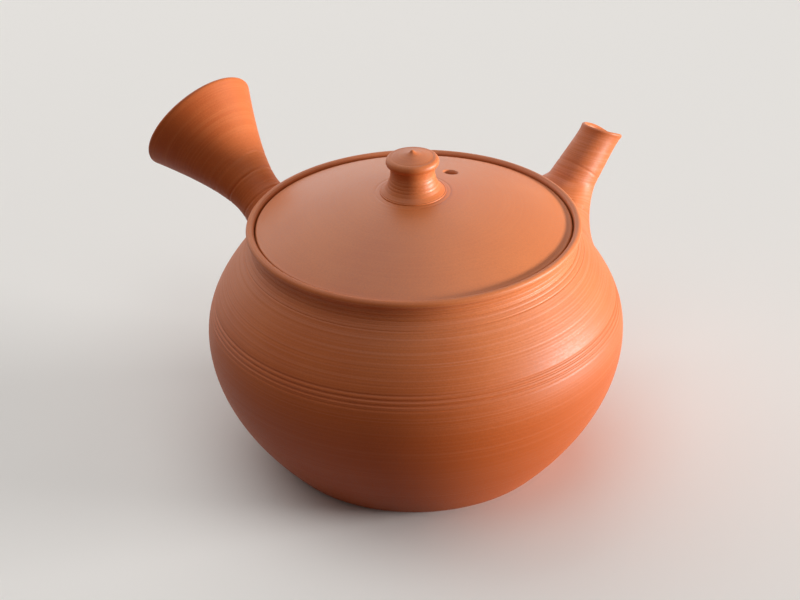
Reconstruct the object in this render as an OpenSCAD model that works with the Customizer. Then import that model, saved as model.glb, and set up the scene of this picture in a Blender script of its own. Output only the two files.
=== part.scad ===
// Side-handled teapot of unglazed red clay (a right-handed kyusu) with an inset lid.
// The origin is the centre of the foot, on the surface that the pot stands on, with +Z up.
// The spout points along +X and the handle stands about a quarter turn round from it.
// All sizes are in millimetres and all angles in degrees.

/* [Body] */
// Widest diameter of the belly
body_d = 112; // [106:1:120]
// Height of the widest diameter
belly_z = 36; // [33:1:40]
// Diameter of the flat foot
foot_d = 76; // [66:1:84]
// Height of the rim's crest
rim_z = 67.3; // [62:0.1:74]
// Height of the neck, from the shoulder to the rim's crest
neck_h = 5.2; // [4.5:0.1:6]
// How far the neck flares out below the rim
neck_flare = 0.5; // [0.2:0.1:1.2]
// Thickness of the rim
rim_t = 1.44; // [1.2:0.02:2.4]
// Thickness of the thrown wall
wall = 3; // [2.4:0.1:4]
// Thickness of the floor
floor_t = 3.5; // [2.5:0.1:5]

/* [Lid seat] */
// Depth of the seat below the rim's crest
seat_drop = 3.3; // [2.8:0.1:4]
// Width of the ledge that carries the lid
ledge_w = 4.15; // [3:0.05:5.5]
// Thickness of the ledge
ledge_t = 2.8; // [2:0.1:3.6]
// Gap between the lid's edge and the rim
seat_gap = 0.4; // [0.3:0.05:0.8]
// Gap between the lid's flange and the ledge
flange_gap = 0.5; // [0.3:0.05:1]

/* [Lid] */
// Diameter of the lid
lid_d = 84.1; // [78:0.1:88]
// Thickness of the lid's edge
lid_edge_t = 2.5; // [1.8:0.1:3]
// Rise of the dome above the edge
lid_rise = 9.7; // [7:0.1:13]
// Thickness of the dome
lid_t = 3.2; // [2.4:0.1:4]
// Depth of the flange below the seat
flange_h = 7; // [4:0.5:12]
// Thickness of the flange
flange_t = 2.5; // [1.8:0.1:3.5]
// Diameter of the vent
vent_d = 3.9; // [2.5:0.1:5]
// Distance of the vent from the lid's axis
vent_offset = 15.7; // [13:0.1:22]
// Direction of the vent, counted from the spout
vent_turn = 8; // [-180:1:180]

/* [Knob] */
// Diameter of the knob's flared foot
knob_foot_d = 17; // [14:0.1:20]
// Diameter of the waist
knob_waist_d = 11.9; // [9:0.1:12.5]
// Diameter of the cap
knob_cap_d = 14; // [13:0.1:17]
// Height of the waist above the lid
knob_waist_h = 5.2; // [4:0.1:6]
// Height of the cap's widest ring above the lid
knob_cap_h = 8.6; // [8:0.1:11]
// Thickness of the cap's rolled edge
knob_roll_t = 2.8; // [2:0.1:3.2]
// Height of the knob's tip above the lid
knob_h = 11.8; // [11.5:0.1:15]
// Thickness of the edge of the knob's foot
knob_edge_t = 0.6; // [0.4:0.1:1.2]

/* [Spout] */
// Distance of the mouth's centre beyond the belly
spout_out = 17.3; // [12:0.1:24]
// Height of the mouth's centre above the rim
spout_rise = 1.9; // [0:0.1:8]
// Upward tilt of the spout
spout_tilt = 43; // [38:1:48]
// Outer diameter of the mouth
spout_mouth_d = 11.2; // [9:0.1:14]
// Growth in diameter along the plain tube
spout_taper = 0.7; // [0.2:0.1:1.5]
// Length of the plain tube behind the mouth
spout_tube_l = 10; // [6:0.5:14]
// Thickness of the spout's wall
spout_wall = 1.5; // [1.1:0.1:2]
// Height of the flared root where it is luted to the belly
spout_root_h = 34; // [28:1:38]
// Width of the flared root
spout_root_w = 57; // [44:1:62]
// Downward lean of the root
spout_lean = 30; // [22:1:34]
// Diameter of the hole through the belly's wall
spout_hole_d = 18; // [14:0.5:20]

/* [Strainer] */
// Diameter of the strainer's ball-shaped dome
strainer_d = 27; // [25:0.5:30]
// Thickness of the strainer
strainer_t = 2; // [1.5:0.1:2.5]
// Diameter of a strainer hole
strainer_hole_d = 1.8; // [1.2:0.1:2.2]
// Rings of strainer holes round the middle one
strainer_rings = 3; // [1:1:3]

/* [Handle] */
// Direction of the handle, counted from the spout
handle_turn = 91; // [80:1:100]
// Distance of the end's centre beyond the belly
handle_out = 34.2; // [28:0.1:44]
// Height of the end's centre above the rim
handle_rise = 0.4; // [-4:0.1:6]
// Upward tilt of the handle
handle_tilt = 30.5; // [26:0.5:35]
// Diameter of the flared end
handle_end_d = 35; // [30:0.5:40]
// Radius of the rounded lip of the end
handle_lip_r = 1.3; // [0.8:0.1:2]
// Diameter of the narrow neck
handle_neck_d = 14; // [12:0.1:17]
// Distance of the narrow neck from the end
handle_neck_l = 31; // [27:0.5:34]
// Diameter of the root where it is luted to the belly
handle_root_d = 25; // [21:0.5:30]
// Thickness of the handle's wall
handle_wall = 2.6; // [2:0.1:3.4]
// Depth of the dish in the end
handle_dish = 2; // [1:0.1:4]
// Diameter of the hole in the end
handle_hole_d = 14; // [8:0.5:18]

/* [Hidden] */
$fn = 96;
clay = "#a4563a";
clay_dark = "#8c4228";
clay_light = "#b96a4c";

// Straight pieces that stand for one curve
curve_steps = 8;
// Overlap of a cut past the face that it opens
cut_over = 1;

// Radii of the body
body_r = body_d / 2;
foot_r = foot_d / 2;
lid_r = lid_d / 2;
seat_r = lid_r + seat_gap;
rim_r = seat_r + rim_t;
neck_r = rim_r + neck_flare;
throat_r = seat_r - ledge_w;
// The wall measured level, as a share of its thickness, where it slants
wall_slant = 1.2;
wall_level = wall_slant * wall;

// Heights of the seat, of the straight part of the rim and of the neck's foot
seat_z = rim_z - seat_drop;
rim_round_z = rim_z - rim_t / 2;
neck_z = rim_z - neck_h;
// Pull of the belly's curve below its widest place, as a share of the height there
belly_pull = 0.53;
belly_low_z = belly_pull * belly_z;
// Pull of the shoulder's curve at both ends, and its level run for each millimetre up at the neck
shoulder_share = 0.368;
shoulder_run = 0.61;
shoulder_pull = shoulder_share * (neck_z - belly_z);

// The lid's dome is part of a ball
dome_r = (pow(lid_r, 2) + pow(lid_rise, 2)) / (2 * lid_rise);
lid_edge_z = seat_z + lid_edge_t;
dome_z = lid_edge_z + lid_rise - dome_r;
flange_r = throat_r - flange_gap;
// The dome is flat under the knob
knob_z = dome_z + sqrt(pow(dome_r, 2) - pow(knob_foot_d / 2, 2));

// The hollow of the knob's stem is an arc from the foot's edge through the waist
knob_foot_r = knob_foot_d / 2;
knob_waist_r = knob_waist_d / 2;
knob_step = knob_foot_r - knob_waist_r;
knob_arc_r = (pow(knob_step, 2) + pow(knob_waist_h - knob_edge_t, 2)) / (2 * knob_step);
knob_roll_r = knob_roll_t / 2;
knob_cap_r = knob_cap_d / 2 - knob_roll_r;
// The small point on the cap, as shares of the cap's width and height
nipple_width = 0.13;
nipple_height = 0.2;
knob_nipple_r = nipple_width * knob_cap_d / 2;
knob_nipple_h = nipple_height * (knob_h - knob_cap_h - knob_roll_r);

// The spout's mouth, and the depth from it to the belly along the spout
spout_reach = body_r + spout_out;
spout_z = rim_z + spout_rise;
spout_tube_r = (spout_mouth_d + spout_taper) / 2;
spout_bore_r = spout_mouth_d / 2 - spout_wall;
spout_depth = (spout_reach - (body_r + neck_r) / 2) / cos(spout_tilt);
// The root ends inside the belly's outline
spout_root_l = spout_depth + 2 * wall;
// Shares of the root's length: the turned part, and the cross-sections of the widening part
turned_shares = [0.1, 0.2, 0.3, 0.34];
turned_end = turned_shares[len(turned_shares) - 1];
spout_stations = [0.3, 0.48, 0.66, 0.84, 1];
// How late along the root it swells, leans and spreads sideways
root_swell = 1.7;
root_lean = 2.5;
root_spread = 2;
ring_fn = 40;
ring_t = spout_wall / 15;

strainer_r = strainer_d / 2;
// Angles, from the top of the strainer's dome, of its straight pieces and of its edge
dome_step = 15;
dome_end = 120;
// Holes in the first ring, and the angle from one ring of holes to the next
ring_holes = 6;
ring_step = 16;

// The handle's end, and the depth from it to the belly along the handle
handle_reach = body_r + handle_out;
handle_z = rim_z + handle_rise;
handle_end_r = handle_end_d / 2;
handle_neck_r = handle_neck_d / 2;
handle_depth = (handle_reach - (body_r + neck_r) / 2) / cos(handle_tilt);
handle_root_l = handle_depth - wall;
// The flare leaves the neck's line at this share of the neck's distance from the end
flare_share = 0.72;
handle_flare_z = -flare_share * handle_neck_l;
handle_blend_z = -(handle_neck_l + handle_root_l) / 2;

// A curve from a to c that leaves towards b and arrives from b, without its first point
function curve(a, b, c) = [
  for (i = [1 : curve_steps])
    let (t = i / curve_steps)
    pow(1 - t, 2) * a + 2 * t * (1 - t) * b + pow(t, 2) * c
];

// A curve from a to d that leaves towards b and arrives from c, without its first point
function long_curve(a, b, c, d) = [
  for (i = [1 : curve_steps])
    let (t = i / curve_steps)
    pow(1 - t, 3) * a + 3 * t * pow(1 - t, 2) * b + 3 * pow(t, 2) * (1 - t) * c + pow(t, 3) * d
];

// Half outline of the belly from the foot or floor to the neck
function belly(base_r, base_z, wide_r, top_r) = concat(
  [[0, base_z], [base_r, base_z]],
  curve([base_r, base_z], [wide_r, belly_low_z], [wide_r, belly_z]),
  long_curve(
    [wide_r, belly_z],
    [wide_r, belly_z + shoulder_pull],
    [top_r + shoulder_run * shoulder_pull, neck_z - shoulder_pull],
    [top_r, neck_z]
  )
);

// Half outline of the handle, drawn in by inset, from its narrow neck to its flared end
function handle_flare(inset, end_z) = curve(
  [handle_neck_r - inset, -handle_neck_l],
  [handle_neck_r - inset, handle_flare_z],
  [handle_end_r - inset, end_z]
);

// Points of a dome's outline at these angles from its top
function dome_arc(r, angles) = [for (a = angles) r * [sin(a), cos(a)]];

// Share u of the way from the plain tube to the end of the spout's root: depth and radius there
function root_depth(u) = spout_tube_l + u * (spout_root_l - spout_tube_l);
function root_r(u) = spout_tube_r + (spout_root_h / 2 - spout_tube_r) * pow(u, root_swell);

// The whole body without its hollow, to fit the spout and handle against
module belly_solid() {
  rotate_extrude()
    polygon(concat(
      belly(foot_r, 0, body_r, neck_r),
      [[rim_r, rim_round_z], [0, rim_round_z]]
    ));
}

// The hollow inside the belly, below the ledge
module belly_hollow_2d() {
  intersection() {
    polygon(concat(
      belly(foot_r - wall / 2, floor_t, body_r - wall, neck_r - wall_level),
      [[0, neck_z]]
    ));
    square([body_r, seat_z - ledge_t]);
  }
}

// The spout's frame: its origin is the centre of the mouth and Z runs out along the spout
module at_spout() {
  translate([spout_reach, 0, spout_z])
    rotate([0, 90 - spout_tilt, 0])
      children();
}

// The strainer's frame: its origin is where the spout's axis meets the wall and Z runs inward
module at_strainer() {
  at_spout()
    translate([0, 0, -spout_depth])
      rotate([180, 0, 0])
        children();
}

// The handle's frame: its origin is the centre of the end and Z runs out along the handle
module at_handle() {
  rotate([0, 0, handle_turn])
    translate([handle_reach, 0, handle_z])
      rotate([0, 90 - handle_tilt, 0])
        children();
}

// The channel through the spout and on through the belly's wall
module spout_channel() {
  at_spout()
    rotate_extrude()
      polygon([
        [0, cut_over],
        [spout_bore_r, cut_over],
        [spout_bore_r, 0],
        [spout_bore_r + spout_taper / 2, -spout_tube_l],
        [spout_hole_d / 2, -spout_depth],
        [spout_hole_d / 2, -spout_root_l],
        [0, -spout_root_l]
      ]);
}

// Thrown pot with its foot, belly, shoulder, neck, rounded rim and the ledge for the lid
module pot_body() {
  color(clay)
    difference() {
      rotate_extrude() {
        difference() {
          polygon(concat(
            belly(foot_r, 0, body_r, neck_r),
            [[rim_r, rim_round_z], [0, rim_round_z]]
          ));
          belly_hollow_2d();
          translate([0, seat_z - ledge_t - cut_over])
            square([throat_r, ledge_t + 2 * cut_over]);
          translate([0, seat_z])
            square([seat_r, seat_drop]);
        }
        intersection() {
          translate([rim_r - rim_t / 2, rim_round_z])
            circle(d = rim_t);
          translate([seat_r, rim_round_z])
            square(rim_t);
        }
      }
      spout_channel();
    }
}

// One cross-section of the spout's root, which widens and leans down as it nears the belly
module root_ring(u) {
  translate([0, 0, -root_depth(u)])
    rotate([0, spout_lean * pow(u, root_lean), 0])
      scale([1, 1 + (spout_root_w / spout_root_h - 1) * pow(u, root_spread), 1])
        cylinder(r = root_r(u), h = ring_t, $fn = ring_fn);
}

// Thrown tapering spout with a broad root cut to the belly's curve
module spout() {
  color(clay_light)
    difference() {
      at_spout() {
        rotate_extrude()
          polygon(concat(
            [[0, 0], [spout_mouth_d / 2, 0], [spout_tube_r, -spout_tube_l]],
            [for (u = turned_shares) [root_r(u), -root_depth(u)]],
            [[0, -root_depth(turned_end)]]
          ));
        for (i = [0 : len(spout_stations) - 2])
          hull() {
            root_ring(spout_stations[i]);
            root_ring(spout_stations[i + 1]);
          }
      }
      belly_solid();
      spout_channel();
    }
}

// Strainer holes: one in the middle, and rings of six, twelve and so on round it
module strainer_holes() {
  for (ring = [0 : strainer_rings])
    for (i = [0 : max(1, ring_holes * ring) - 1])
      rotate([0, ring_step * ring, 360 * i / max(1, ring_holes * ring)])
        translate([0, 0, strainer_r - strainer_t - cut_over])
          cylinder(d = strainer_hole_d, h = strainer_t + 2 * cut_over);
}

// Domed clay strainer on the inside of the belly's wall, over the hole to the spout
module strainer() {
  color(clay_dark)
    difference() {
      intersection() {
        at_strainer()
          rotate_extrude()
            polygon(concat(
              dome_arc(strainer_r, [0 : dome_step : dome_end]),
              dome_arc(strainer_r - strainer_t, [dome_end : -dome_step : 0])
            ));
        rotate_extrude()
          belly_hollow_2d();
      }
      at_strainer()
        strainer_holes();
    }
}

// Thrown hollow handle, flared to a dished end with a hole, and cut to the belly's curve at its root
module handle() {
  lip_z = -handle_lip_r;
  color(clay_dark)
    difference() {
      at_handle()
        rotate_extrude() {
          difference() {
            polygon(concat(
              [[0, -handle_root_l - 2 * wall], [handle_root_d / 2, -handle_root_l - 2 * wall]],
              [[handle_root_d / 2, -handle_root_l]],
              curve(
                [handle_root_d / 2, -handle_root_l],
                [handle_neck_r, handle_blend_z],
                [handle_neck_r, -handle_neck_l]
              ),
              handle_flare(0, lip_z),
              [[handle_end_r - handle_lip_r, 0], [handle_hole_d / 2, -handle_dish], [0, -handle_dish]]
            ));
            polygon(concat(
              [[0, -handle_neck_l], [handle_neck_r - handle_wall, -handle_neck_l]],
              handle_flare(handle_wall, -handle_dish - handle_wall),
              [[0, -handle_dish - handle_wall]]
            ));
            translate([0, -handle_dish - handle_wall - cut_over])
              square([handle_hole_d / 2, handle_wall + 2 * cut_over]);
          }
        }
      belly_solid();
    }
}

// Domed lid with a flat edge that rests on the ledge, a flange that centres it, and a vent
module lid() {
  color(clay)
    difference() {
      rotate_extrude() {
        difference() {
          union() {
            intersection() {
              translate([0, dome_z])
                circle(r = dome_r);
              translate([0, seat_z])
                square([lid_r, knob_z - seat_z]);
            }
            translate([0, seat_z - flange_h])
              square([flange_r, flange_h + lid_edge_t / 2]);
          }
          intersection() {
            translate([0, dome_z])
              circle(r = dome_r - lid_t);
            translate([0, seat_z - flange_h - cut_over])
              square([flange_r - flange_t, flange_h + lid_edge_t + lid_rise]);
          }
        }
      }
      rotate([0, 0, vent_turn])
        translate([vent_offset, 0, seat_z])
          cylinder(d = vent_d, h = lid_edge_t + lid_rise);
    }
}

// Turned knob with a flared foot, a hollow stem, a rolled cap and a small point
module knob() {
  cap_low_z = knob_cap_h - knob_roll_r;
  cap_high_z = knob_cap_h + knob_roll_r;
  color(clay_light)
    translate([0, 0, knob_z])
      rotate_extrude() {
        difference() {
          square([knob_foot_r, cap_low_z + knob_roll_r / 2]);
          translate([knob_waist_r + knob_arc_r, knob_waist_h])
            circle(r = knob_arc_r);
        }
        translate([knob_cap_r, knob_cap_h])
          circle(r = knob_roll_r);
        polygon([
          [0, cap_low_z],
          [knob_cap_r, cap_low_z],
          [knob_cap_r, cap_high_z],
          [knob_nipple_r, knob_h - knob_nipple_h],
          [0, knob_h]
        ]);
      }
}

pot_body();
spout();
strainer();
handle();
lid();
knob();
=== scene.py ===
# A side-handled teapot of unglazed red clay, with its spout to the right and its handle behind.
# The pieces follow in the order in which a potter joins them. Sizes are in millimetres.
from math import comb

import bpy
import numpy as np
from mathutils import Matrix, Vector


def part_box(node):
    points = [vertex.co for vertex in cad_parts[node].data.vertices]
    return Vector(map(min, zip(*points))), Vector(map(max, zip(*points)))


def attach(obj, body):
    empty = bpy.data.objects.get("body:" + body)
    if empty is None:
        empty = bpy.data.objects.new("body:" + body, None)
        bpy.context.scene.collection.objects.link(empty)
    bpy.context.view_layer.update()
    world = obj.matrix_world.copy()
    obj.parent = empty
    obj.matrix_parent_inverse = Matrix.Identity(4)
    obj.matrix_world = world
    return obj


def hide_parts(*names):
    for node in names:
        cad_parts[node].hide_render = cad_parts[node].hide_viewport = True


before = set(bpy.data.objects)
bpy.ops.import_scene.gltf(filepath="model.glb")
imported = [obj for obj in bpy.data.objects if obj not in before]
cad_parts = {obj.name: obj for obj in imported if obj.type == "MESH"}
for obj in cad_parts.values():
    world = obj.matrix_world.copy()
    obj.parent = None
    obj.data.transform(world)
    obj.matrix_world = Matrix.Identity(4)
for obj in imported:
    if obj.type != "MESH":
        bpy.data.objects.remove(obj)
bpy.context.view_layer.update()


# Pot body
# The pot is thrown on the wheel from fine red clay, turned when leather-hard and fired without a glaze.
# A band of grooves is scored above its widest place, and the rim has a ledge inside that carries the lid.

MM = 0.001
pot_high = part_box("pot_body")[1]
belly_r = pot_high.x / MM
rim_z = pot_high.z / MM
foot_r = 38.0
foot_round = 0.9
foot_flat_r = foot_r - 1.2
centre_r = 2.0
belly_z = 36.0
belly_pull = 0.53
neck_r = 43.6
neck_z = rim_z - 5.8
shoulder_pull = 9.6
shoulder_run = 0.8
wall = 3.0
neck_wall = 1.2 * wall
floor_z = 3.5

neck_foot_z = neck_z - 0.35
neck_foot_h = 0.9
neck_foot_pull = (0.15, 0.4)
neck_start = 1.0
neck_waist_r = 43.4
neck_hollow = 0.2
neck_hollow_z = rim_z - 3
neck_top_out = 0.1
lip_r = 1.08
lip_mid_r = 43.3
seat_r = 42.3
seat_top_z = rim_z - 1.6
seat_z = rim_z - 3.3
seat_round = 0.5
throat_r = 38.3
ledge_t = 2.8
ledge_round = 0.4
hollow_top_z = seat_z - ledge_t - 0.3
hollow_low_z = (floor_z + 0.6, floor_z + 0.1)

# Heights, depths and widths of the scored lines. A depth below zero is a ring that stands up.
band_grooves = (46.1, 44.93, 43.68, 42.55)
band_depths = (0.2, 0.22, 0.19, 0.09)
band_groove_w = 0.29
band_groove_lean = 0.35
shoulder_lines = (60.75, 59.6)
shoulder_line_depths = (0.06, 0.12)
neck_lines = (61.6, 62.55, 63.45)
neck_line_depths = (0.1, 0.08, -0.15)
fine_line_w = 0.15
hair_lines = (58.1, 57.4, 55.15, 53.9, 52.1, 50.15, 48.3)
hair_line_depth = 0.03
hair_line_w = 0.14

# Size of the throwing lines at some heights: the fingers press them out a little on the shoulder.
thrown_heights = (0, 30, 44, 58, neck_z)
thrown_sizes = (0.006, 0.008, 0.013, 0.014, 0.01)

# Rings of the wall, each row from, to and step: they lie closest where the finest lines are.
wall_rings = ((0.8, 42, 0.38), (42, 47.6, 0.12), (47.6, 58.6, 0.2), (58.6, neck_foot_z, 0.08))


def pulled_curve(points, count):
    """A curve from the first point to the last, drawn towards the points between by Bernstein weights."""
    t = np.linspace(0, 1, count)[:, None]
    last = len(points) - 1
    weights = [comb(last, k) * t**k * (1 - t) ** (last - k) for k in range(last + 1)]
    return sum(weight * np.array(point, float) for weight, point in zip(weights, points))


def round_edge(middle, radius, start, end, count=9):
    """Points of an arc about its middle, from one angle to another in degrees, 0 outwards and 90 up."""
    a = np.radians(np.linspace(start, end, count))
    return np.array(middle) + radius * np.stack([np.cos(a), np.sin(a)], axis=-1)


def flat_disc(start_r, end_r, z, count):
    """Half outline of a flat disc: even steps from one radius to another at one height."""
    return np.stack([np.linspace(start_r, end_r, count), np.full(count, z)], axis=-1)


def wall_curve(base_r, base_z, wide_r, top_r, count=120):
    """Half outline of the belly from its base to the neck: one curve up to its widest place, one above it."""
    low = [(base_r, base_z), (wide_r, belly_pull * belly_z), (wide_r, belly_z)]
    shoulder = (top_r + shoulder_run * shoulder_pull, neck_z - shoulder_pull)
    high = [(wide_r, belly_z), (wide_r, belly_z + shoulder_pull), shoulder, (top_r, neck_z)]
    return np.vstack([pulled_curve(low, count), pulled_curve(high, count)[1:]])


outside = wall_curve(foot_r, 0, belly_r, neck_r)
inside = wall_curve(foot_r - wall / 2, floor_z, belly_r - wall, neck_r - neck_wall)


def belly_radius(z):
    """Radius of the plain outside at a height, read off its half outline."""
    return np.interp(z, outside[:, 1], outside[:, 0])


def hollow_radius(z):
    """Radius of the hollow inside at a height."""
    return np.interp(z, inside[:, 1], inside[:, 0])


def scored(along, places, depth, width, lean=0.0):
    """Depth of the grooves of a pointed tool along an outline: one bell-shaped dip at each place, narrower
    before its place and wider after it by the lean."""
    gap = np.asarray(along)[..., None] - np.array(places)
    return -(np.array(depth) * np.exp(-((gap / (width * (1 + lean * np.sign(gap)))) ** 2))).sum(axis=-1)


def throwing_lines(along, turn, seed):
    """The fine rings that fingers leave on the wheel, between -1 and 1 or so: waves along the outline with
    lengths of 0.6 to 1.8 mm and random starts, each stronger on one side of the pot than on the other."""
    waves = 12
    once_round = 6.28
    one_sided = 0.6
    chance = np.random.default_rng(seed)
    lengths = chance.uniform(0.6, 1.8, waves)
    starts = chance.uniform(0, once_round, waves)
    sides = chance.uniform(0, once_round, waves)
    height = 0
    for length, start, side in zip(lengths, starts, sides):
        height = height + np.sin(2 * np.pi * along / length + start) * (1 + one_sided * np.cos(turn - side))
    return height / waves**0.5


def round_turn(count):
    """Angles once round, with the last short of the first."""
    return np.linspace(0, 2 * np.pi, count, endpoint=False)


def turned(radius, height, turn):
    """Carries a half outline round the pot's axis: x = r cos a, y = r sin a, z = z. Radius and height have a
    row for each ring, and a column for each turn or one for all."""
    return np.stack([radius * np.cos(turn), radius * np.sin(turn), height + 0 * turn], axis=-1)


def turned_outline(outline, turn):
    """Carries a plain half outline (radius, height) round the pot's axis."""
    return turned(outline[:, :1], outline[:, 1:], turn)


def new_object(name, data):
    """Makes an object of a mesh, a lamp or a camera and puts it into the scene."""
    thing = bpy.data.objects.new(name, data)
    bpy.context.scene.collection.objects.link(thing)
    return thing


def clay_skin(name, rings, low_point=None, high_point=None):
    """Makes a closed mesh from rings of points given in millimetres. Each ring joins the next with four-sided
    faces. The two ends close to points if these are given, and otherwise the last ring joins the first.
    The attribute "turning" keeps the turn of each point, as a circle of 10 mm, and its way along the outline.
    It is kept on the faces' corners, because a cut keeps it there and loses it on points."""
    circle_r = 10
    count, around = rings.shape[:2]
    number = np.arange(count * around).reshape(count, around)
    closed = low_point is None
    this, following = (number, np.roll(number, -1, 0)) if closed else (number[:-1], number[1:])
    four = [this, np.roll(this, -1, 1), np.roll(following, -1, 1), following]
    faces = np.stack(four, axis=-1).reshape(-1, 4).tolist()
    points = rings.reshape(-1, 3)
    step = np.linalg.norm(np.diff(rings, axis=0), axis=-1).mean(axis=1)
    along = np.repeat(np.concatenate([[0], np.cumsum(step)]), around)
    turn = np.tile(round_turn(around), count)
    turning = np.stack([circle_r * np.cos(turn), circle_r * np.sin(turn), along], axis=-1)
    if not closed:
        first, last = number[0], number[-1]
        low, high = count * around, count * around + 1
        faces += np.stack([np.full(around, low), np.roll(first, -1), first], axis=-1).tolist()
        faces += np.stack([np.full(around, high), last, np.roll(last, -1)], axis=-1).tolist()
        points = np.vstack([points, low_point, high_point])
        turning = np.vstack([turning, [0, 0, 0], [0, 0, along[-1]]])
    mesh = bpy.data.meshes.new(name)
    mesh.from_pydata((points * MM).tolist(), [], faces)
    corner = np.zeros(len(mesh.loops), int)
    mesh.loops.foreach_get("vertex_index", corner)
    kept = mesh.attributes.new("turning", "FLOAT_VECTOR", "CORNER")
    kept.data.foreach_set("vector", turning[corner].ravel())
    mesh.polygons.foreach_set("use_smooth", [True] * len(faces))
    return new_object(name, mesh)


def cut_out(piece, cutter):
    """Takes the cutter's form out of the piece, keeps the result as the piece's mesh and drops the cutter."""
    hole = piece.modifiers.new("hole", "BOOLEAN")
    hole.operation = "DIFFERENCE"
    hole.solver = "EXACT"
    hole.object = cutter
    mesh = bpy.data.meshes.new_from_object(piece.evaluated_get(bpy.context.evaluated_depsgraph_get()))
    piece.modifiers.clear()
    piece.data = mesh
    bpy.data.objects.remove(cutter)


def linear(colour):
    """A colour written as sRGB hex, as the linear colour that a shader's socket takes."""
    srgb = np.array([int(colour[i : i + 2], 16) for i in (1, 3, 5)]) / 255
    return (*np.where(srgb <= 0.04045, srgb / 12.92, ((srgb + 0.055) / 1.055) ** 2.4), 1)


def bare_nodes(owner):
    """The node tree of a material or a world, emptied."""
    owner.use_nodes = True
    owner.node_tree.nodes.clear()
    return owner.node_tree


def add_node(tree, kind, settings=(), **sockets):
    """Adds a node with its own settings. A keyword names a socket, with _ for a space, or gives its number
    after an i. The socket takes a value, or the output of another node."""
    node = tree.nodes.new(kind)
    for key, value in dict(settings).items():
        setattr(node, key, value)
    for key, value in sockets.items():
        place = node.inputs[int(key[1:]) if key[1:].isdigit() else key.replace("_", " ")]
        if isinstance(value, bpy.types.NodeSocket):
            tree.links.new(value, place)
        else:
            place.default_value = value
    return node


def red_clay(name, ground, shade, bloom, deep, gloss, line_depth, ior, line_show=0.55, line_gap=0.9):
    """Fired red clay. The flame leaves broad patches of ground and shade. The deep colour is painted shade:
    the colour turns to it from the neck down and keeps it just below the belly's widest place, darker
    towards the bottom as the lower belly lies in shade. Lines of the wheel, a line gap apart, turn to the
    paler bloom where they stand up: by the line show at the neck, and by less on the belly. They and the
    grain catch the light as bump. Gloss is the lowest roughness."""
    patch = 26.0
    # The real grain is about 0.1 mm wide, too fine to show, and is drawn coarser.
    grain = 0.45
    grain_depth = 0.02
    # Along the circle of turns the lines change slowly, so that each fades a few times on its way round.
    fade = 0.05
    # Noise lies mostly between 0.3 and 0.7: the part of it that makes a patch, a ridge and the grain.
    patch_low, patch_high = 0.35, 0.68
    ridge_low, ridge_high = 0.45, 0.7
    grain_low, grain_high = 0.3, 0.7
    darkest, palest = 0.93, 1.05
    dulling = 0.14
    belly_share = 0.3
    # The painted shade is full below this height and fades out up to the neck.
    painted_shade_z = 0.9 * belly_z

    clay = bpy.data.materials.new(name)
    tree = bare_nodes(clay)
    place = add_node(tree, "ShaderNodeTexCoord").outputs["Object"]
    turning = add_node(tree, "ShaderNodeAttribute", {"attribute_name": "turning"}).outputs["Vector"]
    along = add_node(tree, "ShaderNodeMapping", Vector=turning, Scale=(fade, fade, 1 / line_gap)).outputs[0]
    lines = add_node(tree, "ShaderNodeTexNoise", Vector=along, Scale=1.0, Detail=2.0).outputs[0]
    flame = add_node(tree, "ShaderNodeTexNoise", Vector=place, Scale=1 / (patch * MM), Detail=3.0).outputs[0]
    grit = add_node(tree, "ShaderNodeTexNoise", Vector=place, Scale=1 / (grain * MM), Detail=3.0).outputs[0]
    burnt = add_node(tree, "ShaderNodeMapRange", i0=flame, i1=patch_low, i2=patch_high).outputs[0]
    up = add_node(tree, "ShaderNodeSeparateXYZ", Vector=place).outputs[2]
    rise = {"i0": up, "i1": painted_shade_z * MM, "i2": neck_z * MM}
    height = add_node(tree, "ShaderNodeMapRange", **rise).outputs[0]
    show = add_node(tree, "ShaderNodeMapRange", **rise, i3=belly_share * line_show, i4=line_show).outputs[0]
    ridge = add_node(tree, "ShaderNodeMapRange", i0=lines, i1=ridge_low, i2=ridge_high, i4=show).outputs[0]
    grains = {"i0": grit, "i1": grain_low, "i2": grain_high}
    mottle = add_node(tree, "ShaderNodeMapRange", **grains, i3=darkest, i4=palest).outputs[0]
    rough = add_node(tree, "ShaderNodeMapRange", **grains, i3=gloss, i4=gloss + dulling).outputs[0]
    mixing = {"data_type": "RGBA"}
    body = add_node(tree, "ShaderNodeMix", mixing, i0=burnt, i6=linear(ground), i7=linear(shade)).outputs[2]
    # Painted shade: the colour turns to the deep colour from the neck down to the lower belly.
    with_painted_shade = add_node(tree, "ShaderNodeMix", mixing, i0=height, i6=linear(deep), i7=body).outputs[2]
    lined = add_node(tree, "ShaderNodeMix", mixing, i0=ridge, i6=with_painted_shade, i7=linear(bloom)).outputs[2]
    scaling = {"operation": "SCALE"}
    colour = add_node(tree, "ShaderNodeVectorMath", scaling, i0=lined, Scale=mottle).outputs[0]
    wheel = add_node(tree, "ShaderNodeBump", Height=lines, Distance=line_depth * MM).outputs[0]
    sand = add_node(tree, "ShaderNodeBump", Height=grit, Normal=wheel, Distance=grain_depth * MM).outputs[0]
    shader = add_node(
        tree, "ShaderNodeBsdfPrincipled", Base_Color=colour, Roughness=rough, Normal=sand, IOR=ior
    )
    add_node(tree, "ShaderNodeOutputMaterial", Surface=shader.outputs[0])
    return clay


def finish_piece(piece, clay, body, node):
    """Gives a piece its clay and its body in the frame, and lets it stand for the plain solid."""
    piece.data.materials.clear()
    piece.data.materials.append(clay)
    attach(piece, body)
    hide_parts(node)


pot_turn = round_turn(200)
wall_z = np.concatenate([np.arange(*rings) for rings in wall_rings])[:, None]
thrown_size = np.interp(wall_z, thrown_heights, thrown_sizes)
pot_r = belly_radius(wall_z) + thrown_size * throwing_lines(wall_z, pot_turn, seed=11)
pot_r = pot_r + scored(wall_z, band_grooves, band_depths, band_groove_w, band_groove_lean)
pot_r = pot_r + scored(wall_z, shoulder_lines, shoulder_line_depths, fine_line_w)
pot_r = pot_r + scored(wall_z, hair_lines, hair_line_depth, hair_line_w)

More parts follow.
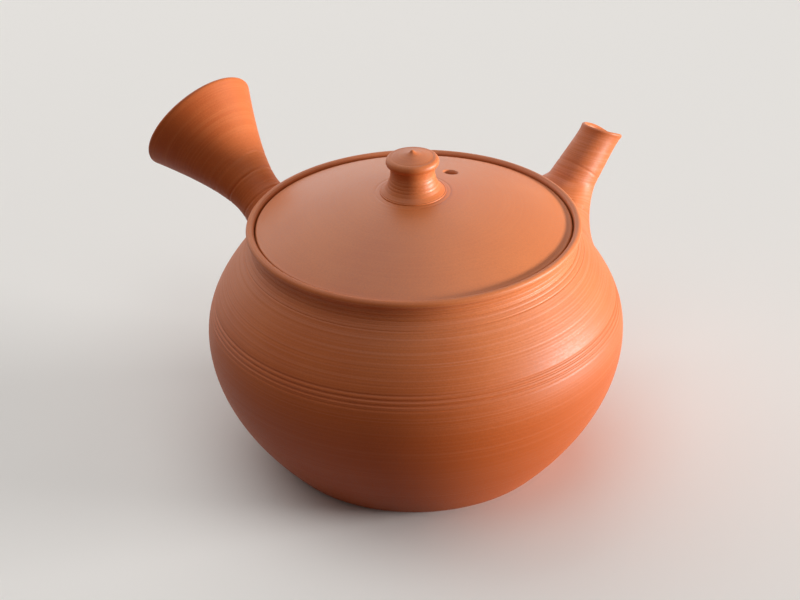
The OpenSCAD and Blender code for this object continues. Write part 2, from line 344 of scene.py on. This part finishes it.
foot = np.vstack([
    flat_disc(centre_r, foot_flat_r, 0, 24),
    round_edge((foot_r - foot_round, foot_round), foot_round, -90, -30, 5),
])
neck = np.vstack([
    pulled_curve([
        (belly_radius(neck_foot_z), neck_foot_z),
        (neck_waist_r + neck_foot_pull[0], neck_foot_z + neck_foot_pull[1]),
        (neck_waist_r, neck_foot_z + neck_foot_h),
    ], 24),
    pulled_curve([
        (neck_waist_r, neck_foot_z + neck_start),
        (neck_waist_r - neck_hollow, neck_hollow_z),
        (neck_waist_r + neck_top_out, rim_z - 2 * lip_r),
    ], 44),
])
neck[:, 0] += scored(neck[:, 1], neck_lines, neck_line_depths, fine_line_w)
ledge_mid_r = throat_r + ledge_round
rim = np.vstack([
    neck,
    round_edge((lip_mid_r, rim_z - lip_r), lip_r, -75, 170, 24),
    [(seat_r, seat_top_z)],
    round_edge((seat_r - seat_round, seat_z + seat_round), seat_round, 0, -90, 5),
    round_edge((ledge_mid_r, seat_z - ledge_round), ledge_round, 90, 180, 5),
    round_edge((ledge_mid_r, seat_z - ledge_t + ledge_round), ledge_round, 180, 270, 5),
])
hollow_z = np.concatenate([np.linspace(hollow_top_z, floor_z + wall / 2, 64), hollow_low_z])
hollow = np.stack([hollow_radius(hollow_z), hollow_z], axis=-1)
pot_floor = flat_disc(foot_r - wall, centre_r, floor_z, 16)
pot_rings = np.concatenate([
    turned_outline(foot, pot_turn),
    turned(pot_r, wall_z, pot_turn),
    turned_outline(rim, pot_turn),
    turned_outline(hollow, pot_turn),
    turned_outline(pot_floor, pot_turn),
])
pot_body = clay_skin("pot_body_clay", pot_rings, (0, 0, 0), (0, 0, floor_z))

# Fine iron-red clay straight from the kiln: dry, with a soft sheen where the turning tool closed the surface
# and hair-fine paler lines where it dragged the grit round.
# Its deep colour, on the lower belly, is painted shade.
thrown_clay = red_clay(
    "thrown_red_clay", ground="#be6a38", shade="#b35f30", bloom="#cc8466", deep="#a64d19",
    gloss=0.43, line_depth=0.016, ior=1.36, line_show=0.35, line_gap=0.35,
)


# Spout
# A short tapering tube of the same clay, thrown on its own, cut aslant at the mouth and luted over a hole in
# the belly. Its root is smeared out wide over the shoulder with the thumbs and ends in a faint edge.

spout_tilt = np.radians(43)
spout_reach = belly_r + 17.2
spout_z = rim_z + 2.0
mouth_r = 5.3
mouth_wall = 1.25
mouth_slant = 2.0
mouth_wave = 0.2
mouth_flare = 0.5
mouth_flare_l = 1.6
mouth_dip = 0.8
mouth_dip_turn = np.radians(5)
mouth_dip_sharpness = 8
lower_l = 12.7
upper_l = 18.0
tube_taper = 0.07
tube_line_size = 0.006
spout_lines = (12.8, 16.9)
spout_line_depth = 0.1
spout_line_w = 0.22
spout_line_lean = 0.6

root_mid_z = 48.9
root_half_h = 12.1
root_half_turn = np.radians(28.7)
root_widening = 0.24
root_squareness = 4
root_drop = 0.136
root_angle_above = np.radians(15)
edge_sink = 0.25
luting = 0.4
crease_start = np.array([51.0, -9.0, 58.6])
crease_end = np.array([54.2, -11.0, 55.2])
crease_depth = 0.4
crease_w = 0.28

# The channel's radius at some depths behind the mouth, and how it may open just inside the lip.
throat_depth = 31.6
channel_depths = (-2, 10, throat_depth, 45)
channel_radii = (4.0, 4.5, 9.0, 9.0)
channel_opening = 8.0
nearest_end, farthest_end = 15.0, 44.0
hole_low, hole_high = 42, 20

# How strongly the root's curves leave the belly and come into the tube: below, and what is added above and
# beside.
leaving_below, leaving_above, leaving_beside = 0.6, -0.1, 1.22
arriving_below, arriving_above = 0.19, 0.77


def axes_of(tilt, turn):
    """Directions of a tube that leaves the pot: outwards along it, square to it and down, and sideways."""
    outwards = np.array([np.cos(tilt) * np.cos(turn), np.cos(tilt) * np.sin(turn), np.sin(tilt)])
    downwards = np.array([np.sin(tilt) * np.cos(turn), np.sin(tilt) * np.sin(turn), -np.cos(tilt)])
    return outwards, downwards, np.array([-np.sin(turn), np.cos(turn), 0])


def tube_rings(middle, axes, depth, radius, turn):
    """Rings about a tube's axis: the middle, less the depth along the axis, plus the radius at each turn."""
    outwards, downwards, sideways = axes
    spoke = np.cos(turn)[..., None] * downwards + np.sin(turn)[..., None] * sideways
    return middle - np.asarray(depth)[..., None] * outwards + np.asarray(radius)[..., None] * spoke


def away_from_axis(points, middle, axes):
    """Directions that lead from a tube's axis to the points, square to the axis."""
    spoke = points - middle - ((points - middle) @ axes[0])[..., None] * axes[0]
    return spoke / np.linalg.norm(spoke, axis=-1, keepdims=True)


def belly_point(turn, z):
    """The point of the pot's plain outside at a turn round the axis and a height."""
    return np.stack([belly_radius(z) * np.cos(turn), belly_radius(z) * np.sin(turn), z], axis=-1)


def belly_outwards(turn, z, step=0.2):
    """The direction that the pot's outside faces there, square to its slope over a step up and one down."""
    slope = (belly_radius(z + step) - belly_radius(z - step)) / (2 * step)
    facing = np.stack([np.cos(turn), np.sin(turn), -slope], axis=-1)
    return facing / np.linalg.norm(facing, axis=-1, keepdims=True)


def smeared_root(edge, facing, tube_start, axes, angle, pulls, count):
    """Rings of clay from an edge on the belly up to a tube's first ring. Each is a cubic curve that leaves
    the belly at an angle towards the tube and comes into the tube along its axis; the pulls are the lengths
    of its two end directions as shares of the straight distance."""
    straight = tube_start - edge
    inwards = straight - (straight * facing).sum(axis=-1, keepdims=True) * facing
    inwards /= np.linalg.norm(inwards, axis=-1, keepdims=True)
    reach = np.linalg.norm(straight, axis=-1, keepdims=True)
    leaving = pulls[0] * reach * (np.cos(angle) * inwards + np.sin(angle) * facing)
    arriving = pulls[1] * reach * axes[0]
    t = np.linspace(0, 1, count)[:, None, None]
    return (
        (2 * t**3 - 3 * t**2 + 1) * edge + (t**3 - 2 * t**2 + t) * leaving
        + (3 * t**2 - 2 * t**3) * tube_start + (t**3 - t**2) * arriving
    )


def halved(outside_of, low, high):
    """Where a test that is negative at low and positive at high changes sign: the span is halved 40 times."""
    for _ in range(40):
        middle = (low + high) / 2
        beyond = outside_of(middle) > 0
        low, high = np.where(beyond, low, middle), np.where(beyond, middle, high)
    return (low + high) / 2


spout_axes = axes_of(spout_tilt, 0)
mouth = np.array([spout_reach, 0, spout_z])
spout_turn = round_turn(200)
down, side = np.cos(spout_turn), np.sin(spout_turn)

# The root's edge is a rounded square on the belly: the sum of both ways to the power of its squareness is 1.
corner = (np.abs(down) ** root_squareness + np.abs(side) ** root_squareness) ** (-1 / root_squareness)
root_up = -corner * down
root_z = root_mid_z + root_half_h * root_up * (1 - root_drop * np.maximum(root_up, 0))
root_turn = root_half_turn * corner * side * (1 + root_widening * root_up)
root_facing = belly_outwards(root_turn, root_z)
root_edge = belly_point(root_turn, root_z) - edge_sink * root_facing

tube_l = lower_l + (upper_l - lower_l) * (0.5 - 0.5 * down)
tube_start = tube_rings(mouth, spout_axes, tube_l, mouth_r + tube_taper * tube_l, spout_turn)
above = np.maximum(-down, 0)[:, None] ** 2
root_pulls = (
    leaving_below + leaving_above * above + leaving_beside * np.abs(side)[:, None],
    arriving_below + arriving_above * above,
)
root_angle = root_angle_above * above
spout_root = smeared_root(root_edge, root_facing, tube_start, spout_axes, root_angle, root_pulls, 140)

# A short crease where the thumb left the root: a groove along the line between two points.
crease_way = crease_end - crease_start
crease_share = np.clip((spout_root - crease_start) @ crease_way / (crease_way @ crease_way), 0, 1)
from_crease = np.linalg.norm(spout_root - crease_start - crease_share[..., None] * crease_way, axis=-1)
crease = scored(from_crease, (0,), crease_depth, crease_w)
spout_root = spout_root + crease[..., None] * away_from_axis(spout_root, mouth, spout_axes)

dip = (0.5 + 0.5 * np.cos(spout_turn - mouth_dip_turn)) ** mouth_dip_sharpness
mouth_depth = -mouth_slant * down + mouth_wave * np.cos(2 * spout_turn) + mouth_dip * dip
share = np.linspace(1, 0, 60)[1:, None]
tube_depth = mouth_depth + share * (tube_l - mouth_depth)
tube_r = mouth_r + tube_taper * tube_depth + mouth_flare * np.exp(-share * tube_l / mouth_flare_l)
tube_r = tube_r + tube_line_size * throwing_lines(tube_depth, spout_turn, seed=5)
tube_r = tube_r + scored(tube_depth + spout_line_lean * down, spout_lines, spout_line_depth, spout_line_w)
lip_turn = np.radians(np.linspace(0, 180, 9))[1:-1, None]
lip_depth = mouth_depth - mouth_wall / 2 * np.sin(lip_turn)
lip_radius = tube_r[-1] - mouth_wall / 2 * (1 - np.cos(lip_turn))


def channel_radius(depth):
    """Radius of the spout's channel, which opens from the mouth to the hole in the belly."""
    return np.interp(depth, channel_depths, channel_radii)


def beyond_belly(depth):
    """How deep the channel's wall lies inside the belly's outside at this depth behind the mouth."""
    x, y, z = np.moveaxis(tube_rings(mouth, spout_axes, depth, channel_radius(depth), spout_turn), -1, 0)
    return belly_radius(z) - luting - np.hypot(x, y)


nearest = np.full_like(spout_turn, nearest_end)
farthest = np.full_like(spout_turn, farthest_end)
channel_end = halved(beyond_belly, nearest, farthest)
channel_share = np.linspace(0, 1, 40)[:, None]
channel_depth = mouth_depth + channel_share * (channel_end - mouth_depth)
lip_inside = tube_r[-1] - mouth_wall + channel_opening * channel_share
channel_r = np.minimum(channel_radius(channel_depth), lip_inside)
spout = clay_skin("spout_clay", np.concatenate([
    spout_root,
    tube_rings(mouth, spout_axes, tube_depth, tube_r, spout_turn),
    tube_rings(mouth, spout_axes, lip_depth, lip_radius, spout_turn),
    tube_rings(mouth, spout_axes, channel_depth, channel_r, spout_turn),
]))

hole_turn = spout_turn[::4]
hole_depth = np.linspace(hole_low, hole_high, 12)[:, None] + 0 * hole_turn
hole_rings = tube_rings(mouth, spout_axes, hole_depth, channel_radius(hole_depth), hole_turn)
hole_ends = [mouth - depth * spout_axes[0] for depth in (hole_low, hole_high)]
cut_out(pot_body, clay_skin("spout_hole", hole_rings, *hole_ends))

finish_piece(pot_body, thrown_clay, "pot", "pot_body")
finish_piece(spout, thrown_clay, "pot", "spout")


# Strainer
# A small dome of the same clay that holds back the leaves. It is pierced all over with a needle while soft
# and luted to the inside of the wall, over the spout's hole.

dome_r = 13.5
dome_t = 2.0
dome_hollow_r = dome_r - dome_t
dome_middle = mouth - throat_depth * spout_axes[0]
dome_axes = (-spout_axes[0], spout_axes[1], -spout_axes[2])
dome_turn = round_turn(120)
dome_reach = np.radians(150)
needle_d = 1.8
needle_past = 1.5
needle_turn = round_turn(16)
needle_rings = 3
ring_holes = 6
ring_step = np.radians(16)
# A direction that no needle has, to set its round square to its way.
off_needle = dome_axes[2] + 0.3 * dome_axes[1]


def dome_point(radius, tilt, turn):
    """A point of a ball: its middle plus its radius, tilted away from the dome's top and turned round it."""
    return tube_rings(dome_middle, dome_axes, -radius * np.cos(tilt), radius * np.sin(tilt), turn)


def dome_edge(radius):
    """Tilt at which the ball meets the belly's inner wall, a little way into the clay."""
    def in_wall(tilt):
        x, y, z = np.moveaxis(dome_point(radius, tilt, dome_turn), -1, 0)
        return np.hypot(x, y) - hollow_radius(z) - luting
    return halved(in_wall, np.zeros_like(dome_turn), np.full_like(dome_turn, dome_reach))


dome_share = np.linspace(0.02, 1, 40)[:, None]
dome_rings = np.concatenate([
    dome_point(dome_hollow_r, dome_share * dome_edge(dome_hollow_r), dome_turn),
    dome_point(dome_r, dome_share[::-1] * dome_edge(dome_r), dome_turn),
])
dome_tops = [dome_middle - radius * spout_axes[0] for radius in (dome_hollow_r, dome_r)]
strainer = clay_skin("strainer_clay", dome_rings, *dome_tops)

# A needle goes in square to the dome at each hole: one on top, then rings of six, twelve and eighteen.
for ring in range(needle_rings + 1):
    for turn in round_turn(max(1, ring_holes * ring)):
        way = dome_point(1, ring * ring_step, np.array(turn)) - dome_middle
        across = np.cross(way, off_needle)
        across /= np.linalg.norm(across)
        needle_axes = (way, across, np.cross(way, across))
        depths = (needle_past - dome_hollow_r, -dome_r - needle_past)
        needle_depth = np.array(depths)[:, None] + 0 * needle_turn
        needle_r = np.full_like(needle_depth, needle_d / 2)
        rings = tube_rings(dome_middle, needle_axes, needle_depth, needle_r, needle_turn)
        cut_out(strainer, clay_skin("needle", rings, *(dome_middle - depth * way for depth in depths)))

# The same clay, pierced and never rubbed: the darkest and dullest piece, where the tea stains it.
pierced_clay = red_clay(
    "pierced_red_clay", ground="#a9532b", shade="#964521", bloom="#b56539", deep="#a24a24",
    gloss=0.5, line_depth=0.02, ior=1.4,
)
finish_piece(strainer, pierced_clay, "pot", "strainer")


# Handle
# A hollow handle of the same clay, thrown as its own small flared pot and luted on a quarter turn from the
# spout. Rings are scored round its narrow neck and its root, and its flared end is dished round a hole.

handle_tilt = np.radians(30.5)
handle_turn = np.radians(91)
handle_axes = axes_of(handle_tilt, handle_turn)
handle_reach = belly_r + 34.6
handle_end_z = rim_z + 0.63
handle_end = np.array([handle_reach * np.cos(handle_turn), handle_reach * np.sin(handle_turn), handle_end_z])
end_r = 17.7
end_lip_r = 0.95
end_hole_r = 7.0
end_hole_round = 1.0
hole_edge_r = end_hole_r + end_hole_round
dish = 2.2
grip_r = 7.0
grip_depth = 31.0
grip_wall = 2.6
grip_pull = 0.72
grip_line_size = 0.008
bore_r = grip_r - grip_wall
bore_end = grip_depth + 3
back_depth = dish + grip_wall
buried_depth = 44
handle_root_z = 47.2
handle_root_half_h = 11.0
handle_root_half_turn = np.radians(14.5)
handle_root_angle = np.radians(8)
handle_root_pulls = (0.8, 0.75)
handle_lines = (21.5, 26.5, 33.4)
handle_line_depths = (0.1, 0.2, 0.22)
handle_line_w = 0.3

# Points (radius, depth) that pull the outline of the dished end, of its back and of the bore behind it.
dish_points = [(end_r - 2.6, 0.15), (end_hole_r + 4, 0.7 * dish), (hole_edge_r, dish)]
back_points = [(end_hole_r + 3, back_depth), (end_r - 4, back_depth), (end_r - 5, back_depth + 3)]
bore_points = [(end_r - 5.4, back_depth + 4), (bore_r, 22), (bore_r, grip_depth)]

grip_turn = round_turn(176)
luted_z = handle_root_z - handle_root_half_h * np.cos(grip_turn)
luted_turn = handle_turn + handle_root_half_turn * np.sin(grip_turn)
luted_facing = belly_outwards(luted_turn, luted_z)
luted_edge = belly_point(luted_turn, luted_z) - edge_sink * luted_facing
grip_start_depth = np.full_like(grip_turn, grip_depth)
grip_start = tube_rings(handle_end, handle_axes, grip_start_depth, np.full_like(grip_turn, grip_r), grip_turn)
handle_root = smeared_root(
    luted_edge, luted_facing, grip_start, handle_axes, handle_root_angle, handle_root_pulls, 70
)
root_depth = (handle_end - handle_root) @ handle_axes[0]
root_rings = scored(root_depth, handle_lines, handle_line_depths, handle_line_w)
handle_root += root_rings[..., None] * away_from_axis(handle_root, handle_end, handle_axes)

flare = pulled_curve([(grip_r, grip_depth), (grip_r, grip_pull * grip_depth), (end_r, end_lip_r)], 130)[1:]
flare_depth = flare[:, 1:]
flare_r = flare[:, :1] + grip_line_size * throwing_lines(flare_depth, grip_turn, seed=8)
flare_r = flare_r + scored(flare_depth, handle_lines, handle_line_depths, handle_line_w)
end_face = np.vstack([
    round_edge((end_r - end_lip_r, end_lip_r), end_lip_r, -20, -90, 8),
    pulled_curve(dish_points, 12),
    round_edge((hole_edge_r, dish + end_hole_round), end_hole_round, -90, -180, 6),
    round_edge((hole_edge_r, back_depth - end_hole_round), end_hole_round, 180, 90, 6),
    pulled_curve(back_points, 9),
    pulled_curve(bore_points, 30),
])
end_depth = end_face[:, 1:] + 0 * grip_turn
end_face_radius = end_face[:, :1] + 0 * grip_turn
handle_rings = np.concatenate([
    handle_root,
    tube_rings(handle_end, handle_axes, flare_depth + 0 * grip_turn, flare_r, grip_turn),
    tube_rings(handle_end, handle_axes, end_depth, end_face_radius, grip_turn),
])
handle_ends = [handle_end - depth * handle_axes[0] for depth in (buried_depth, bore_end)]
handle = clay_skin("handle_clay", handle_rings, *handle_ends)

# The same clay, left dry from the wheel: it shines less than the pot, and its lines are fainter.
# Its deep colour, on the lower root, is painted shade.
dry_clay = red_clay(
    "dry_red_clay", ground="#b45c2a", shade="#a95122", bloom="#c57443", deep="#b0521b",
    gloss=0.45, line_depth=0.022, ior=1.31, line_show=0.25, line_gap=0.5,
)
finish_piece(handle, dry_clay, "pot", "handle")


# Lid
# A domed lid of the same clay, thrown to sit inside the rim, with a flange below that keeps it centred while
# the pot pours. It is burnished with a smooth stone, and a vent is pierced beside the knob to let the air in.

lid_r = 41.9
lid_edge_z = seat_z + 2.2
lid_rise = 10.3
lid_t = 3.2
ball_r = (lid_r**2 + lid_rise**2) / (2 * lid_rise)
ball_z = lid_edge_z + lid_rise - ball_r
edge_round = 0.7
edge_mid_r = lid_r - edge_round
edge_top_angle = 66
under_round = 0.4
flange_r = throat_r - 0.5
flange_t = 2.5
flange_inner_r = flange_r - flange_t
flange_low_z = seat_z - 7
flange_round = 1.0
flange_top = [(flange_r, seat_z - 0.4), (flange_r + 0.3, seat_z)]
flange_fillet = 1.2
lid_line_size = 0.003
scribed_ring_r = 9.9
scribed_ring_depth = 0.07
scribed_ring_w = 0.3
vent_r = 2.05
vent_offset = 16.5
vent_turn = np.radians(9.4)
vent_heights = (seat_z, rim_z + 12)
lid_centre_r = 1.0
# Rings of the lid's top, each row from, to and count: they lie closest round the scribed ring.
top_rings = ((edge_mid_r, 12, 150), (11.9, 8, 50), (7.8, 0.8, 12))


def dome_height(r, drop=0.0):
    """Height of the lid's dome at a radius: the top of a ball, smaller by the drop for its underside."""
    return ball_z + np.sqrt((ball_r - drop) ** 2 - r**2)


lid_turn = round_turn(224)
under_r = np.linspace(lid_centre_r, flange_inner_r - flange_round, 40)
lid_under = np.vstack([
    np.stack([under_r, dome_height(under_r, lid_t)], axis=-1),
    [(flange_inner_r, dome_height(flange_inner_r, lid_t) - flange_fillet)],
    round_edge((flange_inner_r + flange_round, flange_low_z + flange_round), flange_round, 180, 270, 7),
    round_edge((flange_r - flange_round, flange_low_z + flange_round), flange_round, -90, 0, 7),
    flange_top,
    round_edge((lid_r - under_round, seat_z + under_round), under_round, -90, 0, 5),
    round_edge((edge_mid_r, dome_height(edge_mid_r) - edge_round), edge_round, 0, edge_top_angle, 8),
])
top_r = np.concatenate([np.linspace(*rings) for rings in top_rings])[:, None]
top_z = dome_height(top_r) + lid_line_size * throwing_lines(top_r, lid_turn, seed=21)
top_z = top_z + scored(top_r, (scribed_ring_r,), scribed_ring_depth, scribed_ring_w)
lid_rings = np.concatenate([turned_outline(lid_under, lid_turn), turned(top_r, top_z, lid_turn)])
lid = clay_skin("lid_clay", lid_rings, (0, 0, dome_height(0, lid_t)), (0, 0, dome_height(0)))

vent_middle = np.array([vent_offset * np.cos(vent_turn), vent_offset * np.sin(vent_turn), 0])
vent_ends = vent_middle + [(0, 0, z) for z in vent_heights]
vent_round = turned_outline(np.array([(vent_r, 0), (vent_r, 0)]), round_turn(40))
cut_out(lid, clay_skin("vent", vent_round + vent_ends[:, None], *vent_ends))

# The same clay, rubbed until it closes: smoother than the pot, with an even, low shine and hardly a line.
burnished_clay = red_clay(
    "burnished_red_clay", ground="#c06b38", shade="#b86231", bloom="#c57543", deep="#b86231",
    gloss=0.38, line_depth=0.002, ior=1.5, line_show=0.15, line_gap=0.5,
)
finish_piece(lid, burnished_clay, "lid", "lid")


# Knob
# A clay knob turned in one piece, with a flared foot, a ringed stem and a rolled cap that ends in a point.
# It is stuck on the middle of the lid with slip.

knob_foot_r = 8.75
knob_foot_z = dome_height(knob_foot_r)
knob_under_z = knob_foot_z - 0.2
knob_centre_r = 1.0
foot_edge = 0.3
foot_step = 0.1
foot_ring_r = 8.45
foot_ring_depth = 0.12
foot_ring_w = 0.12
knob_z = dome_height(8.5)
foot_top_z = knob_z + 1
knob_waist_r = 5.8
knob_waist_z = knob_z + 5.3
stem_pulls = [(7.6, knob_z + 0.7), (6.35, knob_z + 2.0)]
stem_lines = (1.2, 2.1, 2.9, 3.8, 4.7)
stem_line_depths = (0.04, 0.07, 0.07, 0.07, 0.05)
stem_line_w = 0.17
cap_r = 7.0
cap_roll = 1.3
cap_z = knob_z + 8.6
throat_points = [
    (knob_waist_r, knob_waist_z + 0.1), (knob_waist_r, cap_z - 1.9), (cap_r - 1, cap_z - cap_roll + 0.15)
]
cap_ring_r = 5.5
cap_ring_depth = 0.1
cap_ring_w = 0.16
tip_z = knob_z + 11.8
tip_r = 0.12
cap_pulls = [(3.2, cap_z + 1.85), (1.5, cap_z + 2.2), (0.5, cap_z + 2.2), (0.7, tip_z - 0.1)]

foot_start = (knob_foot_r - foot_step, knob_foot_z + foot_edge)
waist = (knob_waist_r, knob_waist_z)
stem = np.vstack([
    [(knob_foot_r, knob_foot_z), (knob_foot_r, knob_foot_z + 0.6 * foot_edge)],
    pulled_curve([foot_start, *stem_pulls, waist], 80),
    pulled_curve(throat_points, 20),
])
stem[:, 0] += scored(stem[:, 1] - knob_z, stem_lines, stem_line_depths, stem_line_w)
on_foot = stem[:, 1] < foot_top_z
stem[:, 1] += scored(stem[:, 0], (foot_ring_r,), foot_ring_depth, foot_ring_w) * on_foot
cap = np.vstack([
    round_edge((cap_r - cap_roll, cap_z), cap_roll, -75, 80, 18),
    pulled_curve([(cap_ring_r, cap_z + cap_roll), *cap_pulls, (tip_r, tip_z)], 60),
])
on_top = cap[:, 1] > cap_z
cap[:, 1] += scored(cap[:, 0], (cap_ring_r,), cap_ring_depth, cap_ring_w) * on_top
knob_under = [(knob_centre_r, knob_under_z), (knob_foot_r - foot_step, knob_under_z)]
knob_rings = turned_outline(np.vstack([knob_under, stem, cap]), round_turn(128))
knob = clay_skin("knob_clay", knob_rings, (0, 0, knob_under_z), (0, 0, tip_z))

# The same clay as the tool left it on the wheel: drier than the rubbed lid, with a soft shine on its roll.
tooled_clay = red_clay(
    "tooled_red_clay", ground="#be6835", shade="#b65f2e", bloom="#c3713f", deep="#b65f2e",
    gloss=0.4, line_depth=0.03, ior=1.4,
)
finish_piece(knob, tooled_clay, "lid", "knob")


# Studio
# A plain pale floor with matt paint, a low soft light from the right as from a window, weak light from a pale
# screen behind and from above, and the camera at the height of a seated guest's eyes.

floor_half = 2.5
floor_corners = [(x * floor_half, y * floor_half, 0) for x, y in ((-1, -1), (1, -1), (1, 1), (-1, 1))]
floor_mesh = bpy.data.meshes.new("studio_floor")
floor_mesh.from_pydata(floor_corners, [], [(0, 1, 2, 3)])
studio_floor = new_object("studio_floor", floor_mesh)
pale_paint = bpy.data.materials.new("pale_paint")
paint = bare_nodes(pale_paint)


def plain_sight(tree):
    """1 for rays that come straight from the camera, a shiny surface or a clear one, 0 for scattered ones."""
    ray = add_node(tree, "ShaderNodeLightPath").outputs
    straight, shiny, clear = ray["Is Camera Ray"], ray["Is Glossy Ray"], ray["Is Transmission Ray"]
    larger = {"operation": "MAXIMUM"}
    either = add_node(tree, "ShaderNodeMath", larger, i0=straight, i1=shiny).outputs[0]
    return add_node(tree, "ShaderNodeMath", larger, i0=either, i1=clear).outputs[0]


# Matt paint: pale and without shine to the eye. To scattered light it is darker, so that the lower belly
# stays in shade.
seen_paint = linear("#f1eeea")
scattering_paint = linear("#9a6f4a")
tone = add_node(
    paint, "ShaderNodeMix", {"data_type": "RGBA"}, i0=plain_sight(paint), i6=scattering_paint, i7=seen_paint
).outputs[2]
matt = add_node(paint, "ShaderNodeBsdfPrincipled", Base_Color=tone, Roughness=0.85, IOR=1.3)
add_node(paint, "ShaderNodeOutputMaterial", Surface=matt.outputs[0])
floor_mesh.materials.append(pale_paint)

view_turn = np.radians(-42)
eye = np.array([-332.96, -363.68, 322.43]) * MM
target = np.array([-3.04, 2.74, 43.3]) * MM
camera_roll = np.radians(-1.38)
picture_w = 800
focal_length = 2100
sensor_w = 36


def looking(place, aim, roll=0.0):
    """Turn of a camera or lamp that looks from its place at its aim, rolled about its view."""
    turn = Vector(aim - place).to_track_quat("-Z", "Y").to_matrix().to_4x4()
    return Matrix.Translation(Vector(place)) @ turn @ Matrix.Rotation(roll, 4, "Z")


# The picture's width and the focal length are in pixels.
camera_data = bpy.data.cameras.new("camera")
camera_data.sensor_width = sensor_w
camera_data.lens = sensor_w * focal_length / picture_w
camera = new_object("camera", camera_data)
camera.matrix_world = looking(eye, target, camera_roll)
bpy.context.scene.camera = camera

lamp_aim = np.array([0, 0, 0.04])


def soft_light(name, turn, height, distance, wide, tall, power):
    """A flat lamp that faces the pot, its turn and height in degrees, the turn from the picture's right, and
    its other sizes in metres: x = d cos h cos a, y = d cos h sin a, z = d sin h."""
    lamp = bpy.data.lights.new(name, "AREA")
    lamp.shape = "RECTANGLE"
    lamp.size, lamp.size_y = wide, tall
    lamp.energy = power
    turn, height = np.radians(turn) + view_turn, np.radians(height)
    level = np.cos(height)
    place = distance * np.array([level * np.cos(turn), level * np.sin(turn), np.sin(height)])
    new_object(name, lamp).matrix_world = looking(place, lamp_aim)


soft_light("window", turn=-4, height=4.5, distance=1.8, wide=0.79, tall=0.25, power=76)
soft_light("pale_screen", turn=118, height=36, distance=1.1, wide=1.7, tall=1.7, power=9)
soft_light("ceiling", turn=-90, height=82, distance=1.2, wide=1.2, tall=1.2, power=5.4)

# The air is white to the eye and gives little light of its own.
air_light = 0.12
world = bpy.data.worlds.new("studio")
sky = bare_nodes(world)
bpy.context.scene.world = world
strength = add_node(sky, "ShaderNodeMapRange", i0=plain_sight(sky), i3=air_light, i4=1.0).outputs[0]
air = add_node(sky, "ShaderNodeBackground", Color=linear("#f4f2ef"), Strength=strength)
add_node(sky, "ShaderNodeOutputWorld", Surface=air.outputs[0])
bpy.context.scene.view_settings.view_transform = "Standard"
